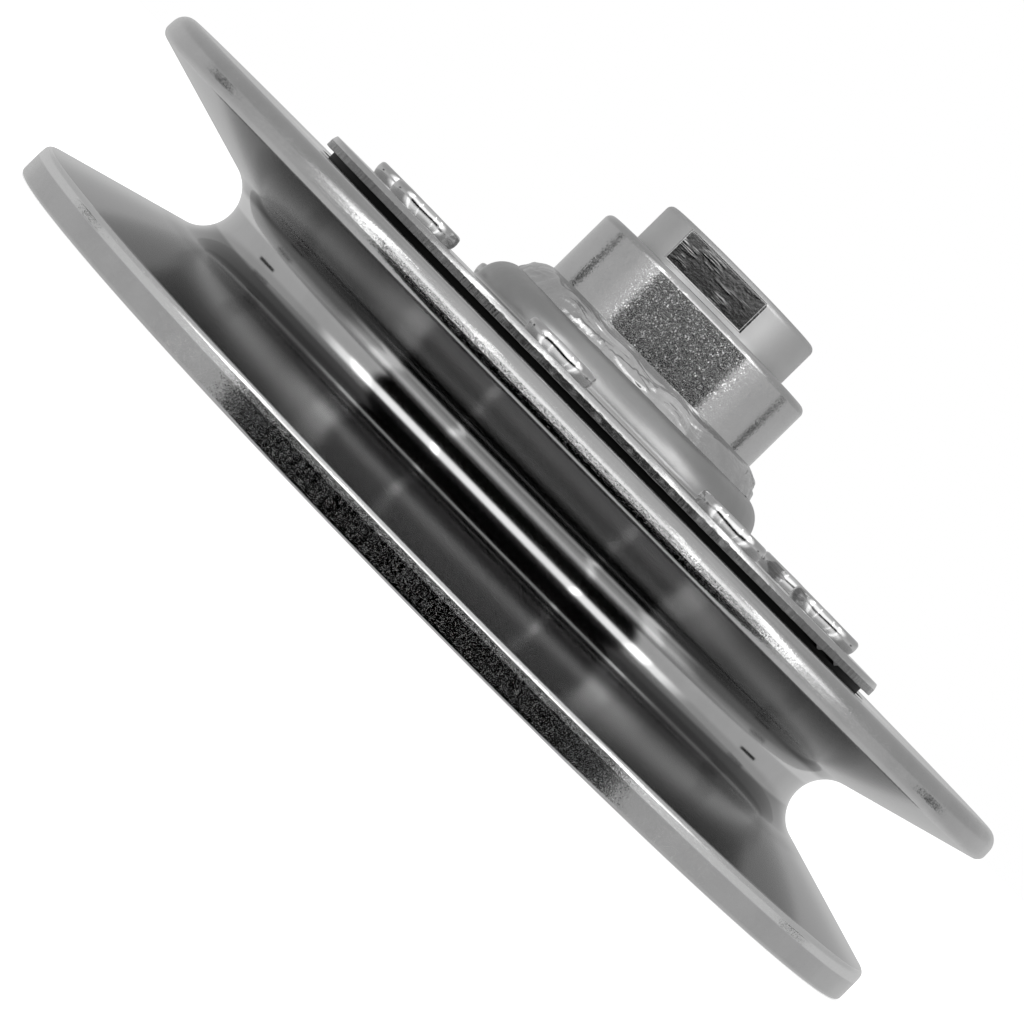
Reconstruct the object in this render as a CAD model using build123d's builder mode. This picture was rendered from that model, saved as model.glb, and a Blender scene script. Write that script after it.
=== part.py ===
from build123d import *

import os
from math import asin, cos, radians, sin, sqrt, tan

# V-belt idler pulley: a turned sheave riveted to a domed flange plate, which is welded to a
# bearing housing. Two sealed ball bearings carry the wheel on a fixed spindle with wrench flats.
# Z is the axis of rotation, +Z points to the spindle head, and z = 0 is the belt line.
# Every length is in millimetres.

os.makedirs("parts", exist_ok=True)

# Sheave
sheave_diameter = 165.0
groove_depth = 25.0
groove_angle = 32.0
groove_root_fillet = 5.6
upper_rim_thickness = 4.3
lower_rim_thickness = 5.2
upper_rim_crown_fillet = 2.3
upper_rim_land_fillet = 1.4
lower_rim_land_fillet = 1.0
lower_rim_fillet = 0.6
groove_wall = 6.0
cup_draft_angle = 5.0
cup_fillet = 2.0
cup_mouth_fillet = 1.0
web_thickness = 7.0
web_bore_clearance = 4.15
web_bore_fillet = 0.8
plate_seat_height = 1.0
plate_seat_setback = 1.5

# Flange plate, one drawn sheet with a domed middle
plate_diameter = 109.8
plate_thickness = 1.9
plate_edge_fillet = 0.25
dome_diameter = 54.0
dome_height = 5.5
dome_shoulder_width_share = 0.634
dome_shoulder_height_share = 0.82
dome_foot_fillet = 0.9
dome_foot_height_share = 0.95
dome_bore_clearance = 0.05

# Weld bead between the dome and the housing
weld_width = 3.45
weld_height = 3.4
weld_bulge = 0.5
weld_least_toe_reach = 0.01

# Rivets through the plate and the web, as far out as the cup's wall and the plate's edge allow
rivet_count = 8
rivet_wall_clearance = 0.35
rivet_edge_clearance = 5.2
rivet_start_angle = -92.8
rivet_shank_diameter = 6.4
rivet_hole_clearance = 0.05
rivet_head_diameter = 12.2
rivet_head_height = 2.25
rivet_head_fillet = 1.0
rivet_closed_head_diameter = 9.6
rivet_closed_head_height = 1.9
rivet_closed_head_fillet = 0.7

# Bearings, two sealed deep-groove ball bearings
bearing_bore = 15.0
bearing_diameter = 35.0
bearing_width = 11.0
bearing_corner_fillet = 0.6
ball_diameter = 5.953
ball_count = 8
ball_clearance = 0.03
raceway_conformity = 0.52
outer_ring_shoulder_depth = 0.85
inner_ring_shoulder_depth = 0.85
cage_wall = 3.0
cage_back_height = 3.7
cage_prong_height = 1.7
cage_pocket_clearance = 0.1
cage_relief_width = 1.2
seal_thickness = 1.0
seal_web_thickness = 0.6
seal_recess = 0.4
seal_bead_depth = 1.0
seal_lip_overlap = 0.5
seal_lip_length = 1.0
seal_seat_clearance = 0.05
seal_lip_clearance = 0.08

# Bearing housing, a turned tube with a lip round the spindle head
housing_diameter = 39.7
housing_projection = 20.05
housing_lip_thickness = 2.15
housing_lip_clearance = 0.4
housing_lip_fillet = 0.3
housing_top_fillet = 1.1
housing_foot_height = 3.5
housing_foot_chamfer = 0.8
bearing_seat_clearance = 0.01

# Spindle, fixed to the machine by a bolt through its bore
spindle_bore_diameter = 10.5
spindle_head_diameter = 29.2
spindle_head_projection = 7.05
spindle_head_fillet = 1.0
spindle_head_running_gap = 1.0
spindle_collar_diameter = 20.2
spindle_foot_height = 6.5
spindle_foot_chamfer = 0.5
spindle_bore_chamfer = 0.4
wrench_flat_width = 25.0
wrench_flat_length = 5.6
wrench_flat_setback = 0.72

# Spacer sleeves between the two bearings
inner_spacer_wall = 2.4
outer_spacer_wall = 2.4
spacer_clearance = 0.05

# Retaining rings under the lower bearing
spindle_ring_thickness = 1.0
spindle_ring_groove_depth = 0.35
spindle_ring_height = 2.0
spindle_ring_lug_radius = 1.7
spindle_ring_lug_hole_diameter = 1.7
spindle_ring_gap_angle = 26.0
spindle_ring_eye_setback_angle = 14.0
housing_ring_thickness = 1.5
housing_ring_groove_depth = 1.0
housing_ring_height = 3.1
housing_ring_lug_radius = 2.2
housing_ring_lug_hole_diameter = 2.2
housing_ring_gap_angle = 20.0
housing_ring_eye_setback_angle = 9.0
housing_ring_eye_inset = 0.55
retaining_ring_clearance = 0.05

# Radii and levels of the sheave
sheave_radius = sheave_diameter / 2
groove_root_radius = sheave_radius - groove_depth
groove_half_angle = radians(groove_angle / 2)
groove_root_center = groove_root_radius + groove_root_fillet
groove_apex_radius = groove_root_center - groove_root_fillet / sin(groove_half_angle)
groove_half_width = (sheave_radius - groove_apex_radius) * tan(groove_half_angle)
upper_face_z = groove_half_width + upper_rim_thickness
lower_face_z = -groove_half_width - lower_rim_thickness
plate_seat_z = upper_face_z + plate_seat_height
web_under_z = plate_seat_z - web_thickness
cup_radius = groove_root_radius - groove_wall
cup_top_radius = cup_radius - web_under_z * tan(radians(cup_draft_angle))
cup_mouth_radius = cup_radius - lower_face_z * tan(radians(cup_draft_angle))

# Circle of the rivets: closed heads clear of the cup's wall, formed heads clear of the edge
plate_radius = plate_diameter / 2
closed_head_reach = rivet_closed_head_diameter / 2 + rivet_wall_clearance
head_reach = rivet_head_diameter / 2 + rivet_edge_clearance
rivet_circle_radius = min(
    cup_top_radius - cup_fillet - closed_head_reach,
    plate_radius - head_reach,
)

# Levels of the plate, radii of the dome and the housing
plate_top_z = plate_seat_z + plate_thickness
plate_seat_radius = plate_radius - plate_seat_setback
dome_radius = dome_diameter / 2
dome_top_z = plate_top_z + dome_height
housing_radius = housing_diameter / 2
housing_top_z = plate_top_z + housing_projection
web_bore_radius = housing_radius + web_bore_clearance

# Radii and levels of the bearings
bearing_radius = bearing_diameter / 2
shaft_radius = bearing_bore / 2
ball_radius = ball_diameter / 2
ball_pitch_radius = (bearing_radius + shaft_radius) / 2
raceway_fillet = raceway_conformity * ball_diameter
outer_raceway_radius = ball_pitch_radius + ball_radius + ball_clearance
inner_raceway_radius = ball_pitch_radius - ball_radius - ball_clearance
outer_shoulder_radius = outer_raceway_radius - outer_ring_shoulder_depth
inner_shoulder_radius = inner_raceway_radius + inner_ring_shoulder_depth
lower_bearing_z = 0.0
upper_bearing_z = housing_top_z - housing_lip_thickness - bearing_width / 2
bearing_levels = {"lower": lower_bearing_z, "upper": upper_bearing_z}
bearings_top_z = upper_bearing_z + bearing_width / 2
bearings_foot_z = lower_bearing_z - bearing_width / 2
spacer_foot_z = lower_bearing_z + bearing_width / 2
spacer_length = upper_bearing_z - lower_bearing_z - bearing_width

# Sheave: V-groove ring, web and plate seat turned from one casting
with BuildPart() as sheave:
    with BuildSketch(Plane.XZ):
        with BuildLine():
            FilletPolyline(
                (web_bore_radius, plate_seat_z),
                (plate_seat_radius, plate_seat_z),
                (plate_seat_radius, upper_face_z),
                (sheave_radius, upper_face_z),
                (sheave_radius, groove_half_width),
                (groove_apex_radius, 0),
                (sheave_radius, -groove_half_width),
                (sheave_radius, lower_face_z),
                (cup_mouth_radius, lower_face_z),
                (cup_top_radius, web_under_z),
                (web_bore_radius, web_under_z),
                radius=[
                    web_bore_fillet,
                    0,
                    0,
                    upper_rim_crown_fillet,
                    upper_rim_land_fillet,
                    groove_root_fillet,
                    lower_rim_land_fillet,
                    lower_rim_fillet,
                    cup_mouth_fillet,
                    cup_fillet,
                    web_bore_fillet,
                ],
                close=True,
            )
        make_face()
    revolve(axis=Axis.Z)
    with BuildSketch(Plane.XY.offset(web_under_z)):
        with PolarLocations(rivet_circle_radius, rivet_count, rivet_start_angle):
            Circle(rivet_shank_diameter / 2 + rivet_hole_clearance)
    extrude(amount=web_thickness, mode=Mode.SUBTRACT)
sheave.part.label = "sheave"
export_step(sheave.part, "parts/sheave.step")

# Flange plate: the sheet keeps its thickness round the foot and the shoulder of the dome
dome_bore_radius = housing_radius + dome_bore_clearance
dome_shoulder = min(
    dome_shoulder_width_share * (dome_radius - dome_bore_radius),
    dome_shoulder_height_share * dome_height,
)
dome_foot = min(dome_foot_fillet, dome_foot_height_share * (dome_height - dome_shoulder))
with BuildPart() as flange_plate:
    with BuildSketch(Plane.XZ):
        with BuildLine():
            FilletPolyline(
                (plate_radius, plate_top_z),
                (dome_radius, plate_top_z),
                (dome_radius, dome_top_z),
                (dome_bore_radius, dome_top_z),
                (dome_bore_radius, dome_top_z - plate_thickness),
                (dome_radius - plate_thickness, dome_top_z - plate_thickness),
                (dome_radius - plate_thickness, plate_seat_z),
                (plate_radius, plate_seat_z),
                radius=[
                    plate_edge_fillet,
                    dome_foot,
                    dome_shoulder,
                    0,
                    0,
                    dome_shoulder - plate_thickness,
                    dome_foot + plate_thickness,
                    plate_edge_fillet,
                ],
                close=True,
            )
        make_face()
    revolve(axis=Axis.Z)
    with BuildSketch(Plane.XY.offset(plate_seat_z)):
        with PolarLocations(rivet_circle_radius, rivet_count, rivet_start_angle):
            Circle(rivet_shank_diameter / 2 + rivet_hole_clearance)
    extrude(amount=plate_thickness, mode=Mode.SUBTRACT)
flange_plate.part.label = "flange_plate"
export_step(flange_plate.part, "parts/flange_plate.step")

# Weld bead: a convex fillet weld that follows the dome's shoulder at its toe
shoulder_center_radius = dome_radius - dome_shoulder
shoulder_center_z = dome_top_z - dome_shoulder
weld_toe_radius = housing_radius + weld_width
weld_toe_reach = max(weld_toe_radius - shoulder_center_radius, weld_least_toe_reach)
weld_toe_angle = asin(weld_toe_reach / dome_shoulder)
weld_toe_z = shoulder_center_z + dome_shoulder * cos(weld_toe_angle)
weld_top_z = dome_top_z + weld_height
weld_bulge_share = weld_bulge / sqrt(weld_width**2 + weld_height**2)
with BuildPart() as weld_bead:
    with BuildSketch(Plane.XZ):
        with BuildLine():
            Line((housing_radius, dome_top_z), (shoulder_center_radius, dome_top_z))
            ThreePointArc(
                (shoulder_center_radius, dome_top_z),
                (
                    shoulder_center_radius + dome_shoulder * sin(weld_toe_angle / 2),
                    shoulder_center_z + dome_shoulder * cos(weld_toe_angle / 2),
                ),
                (shoulder_center_radius + weld_toe_reach, weld_toe_z),
            )
            ThreePointArc(
                (shoulder_center_radius + weld_toe_reach, weld_toe_z),
                (
                    housing_radius + weld_width * (0.5 + weld_bulge_share),
                    dome_top_z + weld_height * (0.5 + weld_bulge_share),
                ),
                (housing_radius, weld_top_z),
            )
            Line((housing_radius, weld_top_z), (housing_radius, dome_top_z))
        make_face()
    revolve(axis=Axis.Z)
weld_bead.part.label = "weld_bead"
export_step(weld_bead.part, "parts/weld_bead.step")

# Rivets: flat round heads on the plate, closed heads under the web
with BuildPart() as plate_rivets:
    with BuildSketch(Plane.XY.offset(web_under_z)):
        with PolarLocations(rivet_circle_radius, rivet_count, rivet_start_angle):
            Circle(rivet_shank_diameter / 2)
    extrude(amount=web_thickness + plate_thickness)
    with BuildSketch(Plane.XY.offset(plate_top_z)):
        with PolarLocations(rivet_circle_radius, rivet_count, rivet_start_angle):
            Circle(rivet_head_diameter / 2)
    extrude(amount=rivet_head_height)
    fillet(plate_rivets.edges().group_by(Axis.Z)[-1], radius=rivet_head_fillet)
    with BuildSketch(Plane.XY.offset(web_under_z)):
        with PolarLocations(rivet_circle_radius, rivet_count, rivet_start_angle):
            Circle(rivet_closed_head_diameter / 2)
    extrude(amount=-rivet_closed_head_height)
    fillet(plate_rivets.edges().group_by(Axis.Z)[0], radius=rivet_closed_head_fillet)
plate_rivets.part.label = "plate_rivets"
export_step(plate_rivets.part, "parts/plate_rivets.step")

# Bearing housing: the bearings go in from below, up to the lip, and the groove near its foot
# holds the retaining ring
seat_radius = bearing_radius + bearing_seat_clearance
housing_lip_radius = spindle_head_diameter / 2 + housing_lip_clearance
housing_foot_z = bearings_foot_z - housing_foot_height
housing_groove_radius = bearing_radius + housing_ring_groove_depth
housing_groove_foot_z = bearings_foot_z - housing_ring_thickness - retaining_ring_clearance
with BuildPart() as bearing_housing:
    with BuildSketch(Plane.XZ):
        with BuildLine():
            FilletPolyline(
                (housing_lip_radius, housing_top_z),
                (housing_radius, housing_top_z),
                (housing_radius, housing_foot_z + housing_foot_chamfer),
                (housing_radius - housing_foot_chamfer, housing_foot_z),
                (seat_radius + housing_foot_chamfer, housing_foot_z),
                (seat_radius, housing_foot_z + housing_foot_chamfer),
                (seat_radius, housing_groove_foot_z),
                (housing_groove_radius, housing_groove_foot_z),
                (housing_groove_radius, bearings_foot_z),
                (seat_radius, bearings_foot_z),
                (seat_radius, bearings_top_z),
                (housing_lip_radius, bearings_top_z),
                radius=[housing_lip_fillet, housing_top_fillet] + [0] * 10,
                close=True,
            )
        make_face()
    revolve(axis=Axis.Z)
bearing_housing.part.label = "bearing_housing"
export_step(bearing_housing.part, "parts/bearing_housing.step")

# Spindle: flatted head, collar against the upper inner ring, shaft and ring groove
spindle_top_z = housing_top_z + spindle_head_projection
spindle_foot_z = bearings_foot_z - spindle_foot_height
spindle_bore_radius = spindle_bore_diameter / 2
spindle_groove_radius = shaft_radius - spindle_ring_groove_depth
spindle_groove_foot_z = bearings_foot_z - spindle_ring_thickness - retaining_ring_clearance
head_under_z = bearings_top_z + spindle_head_running_gap
with BuildPart() as spindle:
    with BuildSketch(Plane.XZ):
        with BuildLine():
            FilletPolyline(
                (spindle_bore_radius, spindle_foot_z + spindle_bore_chamfer),
                (spindle_bore_radius + spindle_bore_chamfer, spindle_foot_z),
                (shaft_radius - spindle_foot_chamfer, spindle_foot_z),
                (shaft_radius, spindle_foot_z + spindle_foot_chamfer),
                (shaft_radius, spindle_groove_foot_z),
                (spindle_groove_radius, spindle_groove_foot_z),
                (spindle_groove_radius, bearings_foot_z),
                (shaft_radius, bearings_foot_z),
                (shaft_radius, bearings_top_z),
                (spindle_collar_diameter / 2, bearings_top_z),
                (spindle_collar_diameter / 2, head_under_z),
                (spindle_head_diameter / 2, head_under_z),
                (spindle_head_diameter / 2, spindle_top_z),
                (spindle_bore_radius + spindle_bore_chamfer, spindle_top_z),
                (spindle_bore_radius, spindle_top_z - spindle_bore_chamfer),
                radius=[0] * 12 + [spindle_head_fillet, 0, 0],
                close=True,
            )
        make_face()
    revolve(axis=Axis.Z)
    flat_top_z = spindle_top_z - wrench_flat_setback
    flat_milling_depth = spindle_head_diameter / 2
    with BuildSketch(Plane.XY.offset(flat_top_z)):
        with Locations(
            (0, wrench_flat_width / 2 + flat_milling_depth / 2),
            (0, -wrench_flat_width / 2 - flat_milling_depth / 2),
        ):
            Rectangle(spindle_head_diameter, flat_milling_depth)
    extrude(amount=-wrench_flat_length, mode=Mode.SUBTRACT)
spindle.part.label = "spindle"
export_step(spindle.part, "parts/spindle.step")

# Spacer sleeves: one between the inner rings, one between the outer rings
with BuildPart() as inner_spacer:
    with BuildSketch(Plane.XY.offset(spacer_foot_z)):
        Circle(shaft_radius + inner_spacer_wall)
        Circle(shaft_radius + spacer_clearance, mode=Mode.SUBTRACT)
    extrude(amount=spacer_length)
inner_spacer.part.label = "inner_spacer"
export_step(inner_spacer.part, "parts/inner_spacer.step")

with BuildPart() as outer_spacer:
    with BuildSketch(Plane.XY.offset(spacer_foot_z)):
        Circle(bearing_radius - spacer_clearance)
        Circle(bearing_radius - outer_spacer_wall, mode=Mode.SUBTRACT)
    extrude(amount=spacer_length)
outer_spacer.part.label = "outer_spacer"
export_step(outer_spacer.part, "parts/outer_spacer.step")

# Retaining rings: open rings with two eyes for the pliers, each against the lower bearing
spindle_ring_inner_radius = spindle_groove_radius + retaining_ring_clearance
spindle_ring_eye_radius = spindle_ring_inner_radius + spindle_ring_lug_radius
spindle_ring_eye_angle = spindle_ring_gap_angle / 2 + spindle_ring_eye_setback_angle
with BuildPart() as spindle_retaining_ring:
    with BuildSketch(Plane.XY.offset(bearings_foot_z)):
        Circle(spindle_ring_inner_radius + spindle_ring_height)
        with PolarLocations(spindle_ring_eye_radius, 1, spindle_ring_eye_angle):
            Circle(spindle_ring_lug_radius)
        with PolarLocations(spindle_ring_eye_radius, 1, -spindle_ring_eye_angle):
            Circle(spindle_ring_lug_radius)
        Circle(spindle_ring_inner_radius, mode=Mode.SUBTRACT)
        with PolarLocations(spindle_ring_eye_radius, 1, spindle_ring_eye_angle):
            Circle(spindle_ring_lug_hole_diameter / 2, mode=Mode.SUBTRACT)
        with PolarLocations(spindle_ring_eye_radius, 1, -spindle_ring_eye_angle):
            Circle(spindle_ring_lug_hole_diameter / 2, mode=Mode.SUBTRACT)
        gap_reach = 2 * spindle_ring_eye_radius
        gap_half_width = gap_reach * tan(radians(spindle_ring_gap_angle / 2))
        with BuildLine():
            Polyline((0, 0), (gap_reach, gap_half_width), (gap_reach, -gap_half_width), close=True)
        make_face(mode=Mode.SUBTRACT)
    extrude(amount=-spindle_ring_thickness)
spindle_retaining_ring.part.label = "spindle_retaining_ring"
export_step(spindle_retaining_ring.part, "parts/spindle_retaining_ring.step")

housing_ring_outer_radius = housing_groove_radius - retaining_ring_clearance
housing_ring_inner_radius = housing_ring_outer_radius - housing_ring_height
housing_ring_eye_radius = housing_ring_inner_radius + housing_ring_eye_inset
housing_ring_eye_angle = housing_ring_gap_angle / 2 + housing_ring_eye_setback_angle
with BuildPart() as housing_retaining_ring:
    with BuildSketch(Plane.XY.offset(bearings_foot_z)):
        Circle(housing_ring_outer_radius)
        Circle(housing_ring_inner_radius, mode=Mode.SUBTRACT)
        with PolarLocations(housing_ring_eye_radius, 1, housing_ring_eye_angle):
            Circle(housing_ring_lug_radius)
        with PolarLocations(housing_ring_eye_radius, 1, -housing_ring_eye_angle):
            Circle(housing_ring_lug_radius)
        with PolarLocations(housing_ring_eye_radius, 1, housing_ring_eye_angle):
            Circle(housing_ring_lug_hole_diameter / 2, mode=Mode.SUBTRACT)
        with PolarLocations(housing_ring_eye_radius, 1, -housing_ring_eye_angle):
            Circle(housing_ring_lug_hole_diameter / 2, mode=Mode.SUBTRACT)
        gap_reach = 2 * housing_ring_outer_radius
        gap_half_width = gap_reach * tan(radians(housing_ring_gap_angle / 2))
        with BuildLine():
            Polyline((0, 0), (gap_reach, gap_half_width), (gap_reach, -gap_half_width), close=True)
        make_face(mode=Mode.SUBTRACT)
    extrude(amount=-housing_ring_thickness)
housing_retaining_ring.part.label = "housing_retaining_ring"
export_step(housing_retaining_ring.part, "parts/housing_retaining_ring.step")

# Bearing sections, as heights above the middle of a bearing
bearing_half_width = bearing_width / 2
seal_outer_z = bearing_half_width - seal_recess
seal_inner_z = seal_outer_z - seal_thickness
seal_groove_radius = outer_shoulder_radius + seal_bead_depth
seal_mouth_radius = outer_shoulder_radius + seal_lip_overlap
seal_groove_outer_z = seal_outer_z + seal_seat_clearance
seal_groove_inner_z = seal_inner_z - seal_seat_clearance
seal_bead_radius = seal_groove_radius - seal_seat_clearance
seal_lip_radius = inner_shoulder_radius + seal_lip_clearance
outer_raceway_center = outer_raceway_radius - raceway_fillet
inner_raceway_center = inner_raceway_radius + raceway_fillet
cage_inner_radius = ball_pitch_radius - cage_wall / 2
cage_outer_radius = ball_pitch_radius + cage_wall / 2
cage_middle_z = (cage_back_height - cage_prong_height) / 2
ball_step_angle = 360 / ball_count

for place, bearing_z in bearing_levels.items():
    section = Plane((0, 0, bearing_z), x_dir=(1, 0, 0), z_dir=(0, -1, 0))

    # Outer ring: raceway in the middle, a groove and a mouth for a seal at each side
    with BuildPart() as outer_ring:
        with BuildSketch(section) as outer_ring_section:
            with Locations(((bearing_radius + outer_shoulder_radius) / 2, 0)):
                Rectangle(bearing_radius - outer_shoulder_radius, bearing_width)
            fillet(outer_ring_section.vertices().group_by(Axis.X)[-1], bearing_corner_fillet)
            with Locations((outer_raceway_center, 0)):
                Circle(raceway_fillet, mode=Mode.SUBTRACT)
            seal_groove_height = seal_groove_outer_z - seal_groove_inner_z
            seal_groove_middle_z = (seal_groove_outer_z + seal_groove_inner_z) / 2
            seal_mouth_height = bearing_half_width - seal_groove_inner_z
            seal_mouth_middle_z = (bearing_half_width + seal_groove_inner_z) / 2
            with Locations((0, seal_groove_middle_z), (0, -seal_groove_middle_z)):
                Rectangle(2 * seal_groove_radius, seal_groove_height, mode=Mode.SUBTRACT)
            with Locations((0, seal_mouth_middle_z), (0, -seal_mouth_middle_z)):
                Rectangle(2 * seal_mouth_radius, seal_mouth_height, mode=Mode.SUBTRACT)
        revolve(axis=Axis.Z)
    outer_ring.part.label = f"{place}_bearing_outer_ring"
    export_step(outer_ring.part, f"parts/{place}_bearing_outer_ring.step")

    # Inner ring: raceway in the middle, plain lands for the seal lips
    with BuildPart() as inner_ring:
        with BuildSketch(section) as inner_ring_section:
            inner_ring_bore_radius = shaft_radius + bearing_seat_clearance
            with Locations(((inner_shoulder_radius + inner_ring_bore_radius) / 2, 0)):
                Rectangle(inner_shoulder_radius - inner_ring_bore_radius, bearing_width)
            fillet(inner_ring_section.vertices().group_by(Axis.X)[0], bearing_corner_fillet)
            with Locations((inner_raceway_center, 0)):
                Circle(raceway_fillet, mode=Mode.SUBTRACT)
        revolve(axis=Axis.Z)
    inner_ring.part.label = f"{place}_bearing_inner_ring"
    export_step(inner_ring.part, f"parts/{place}_bearing_inner_ring.step")

    # Cage: a moulded crown with a closed back and prongs that reach past the balls' middles
    with BuildPart(Plane.XY.offset(bearing_z)) as cage:
        with BuildSketch(section):
            with Locations((ball_pitch_radius, cage_middle_z)):
                Rectangle(cage_wall, cage_back_height + cage_prong_height)
        revolve(axis=Axis.Z)
        with PolarLocations(ball_pitch_radius, ball_count):
            Sphere(ball_radius + cage_pocket_clearance, mode=Mode.SUBTRACT)
        with BuildSketch(Plane.XY.offset(bearing_z - cage_prong_height)):
            with PolarLocations(ball_pitch_radius, ball_count, ball_step_angle / 2):
                Rectangle(2 * cage_wall, cage_relief_width)
        extrude(amount=cage_prong_height, mode=Mode.SUBTRACT)
    cage.part.label = f"{place}_bearing_cage"
    export_step(cage.part, f"parts/{place}_bearing_cage.step")

    # Balls, one solid each
    for number in range(ball_count):
        ball_angle = radians(number * ball_step_angle)
        ball_x = ball_pitch_radius * cos(ball_angle)
        ball_y = ball_pitch_radius * sin(ball_angle)
        with BuildPart() as ball:
            with Locations((ball_x, ball_y, bearing_z)):
                Sphere(ball_radius)
        ball.part.label = f"{place}_bearing_ball_{number + 1}"
        export_step(ball.part, f"parts/{place}_bearing_ball_{number + 1}.step")

    # Seals: a bead snapped into the outer ring, a thin web and a lip over the inner ring
    for side, direction in {"lower": -1, "upper": 1}.items():
        with BuildPart() as seal:
            with BuildSketch(section):
                with BuildLine():
                    Polyline(
                        (seal_bead_radius, direction * seal_outer_z),
                        (seal_lip_radius, direction * seal_outer_z),
                        (seal_lip_radius, direction * seal_inner_z),
                        (seal_lip_radius + seal_lip_overlap, direction * seal_inner_z),
                        (
                            seal_lip_radius + seal_lip_length,
                            direction * (seal_outer_z - seal_web_thickness),
                        ),
                        (
                            seal_mouth_radius - seal_lip_overlap,
                            direction * (seal_outer_z - seal_web_thickness),
                        ),
                        (seal_mouth_radius, direction * seal_inner_z),
                        (seal_bead_radius, direction * seal_inner_z),
                        close=True,
                    )
                make_face()
            revolve(axis=Axis.Z)
        seal.part.label = f"{place}_bearing_{side}_seal"
        export_step(seal.part, f"parts/{place}_bearing_{side}_seal.step")
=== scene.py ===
import logging
import math
from collections.abc import Callable
from dataclasses import dataclass, field
from enum import Enum

import bmesh
import bpy
from mathutils import Matrix, Vector, noise


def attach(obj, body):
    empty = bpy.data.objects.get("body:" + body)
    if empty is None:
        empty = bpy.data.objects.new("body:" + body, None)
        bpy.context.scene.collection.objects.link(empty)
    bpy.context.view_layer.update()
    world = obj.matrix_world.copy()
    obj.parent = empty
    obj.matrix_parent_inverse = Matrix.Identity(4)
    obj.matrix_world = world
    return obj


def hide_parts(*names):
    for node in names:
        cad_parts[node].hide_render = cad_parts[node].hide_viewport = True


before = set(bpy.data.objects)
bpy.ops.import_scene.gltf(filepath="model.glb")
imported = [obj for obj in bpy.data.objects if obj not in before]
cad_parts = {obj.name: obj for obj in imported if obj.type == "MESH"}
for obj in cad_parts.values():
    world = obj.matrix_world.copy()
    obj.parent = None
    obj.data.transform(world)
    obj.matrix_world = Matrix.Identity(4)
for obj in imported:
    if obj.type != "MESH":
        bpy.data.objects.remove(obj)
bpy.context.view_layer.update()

log = logging.getLogger("idler_pulley")

MM = 0.001
FULL_TURN = 2 * math.pi
PHOTO_WIDTH_PX = 1024
SENSOR_WIDTH_MM = 36.0
MIX_FLOATS = (2, 3)
MIX_COLOURS = (6, 7)
MIX_COLOUR_OUT = 2
VECTOR_SOCKET = "Position"

Node = bpy.types.Node
Piece = bpy.types.Object
Socket = bpy.types.NodeSocket
Feed = float | tuple | bpy.types.NodeSocket


class Lay(Enum):
    """The way in which a tool left its lines on a surface."""

    NONE = "none"
    ALONG_HEIGHT = "height"
    ALONG_RADIUS = "radius"


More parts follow.
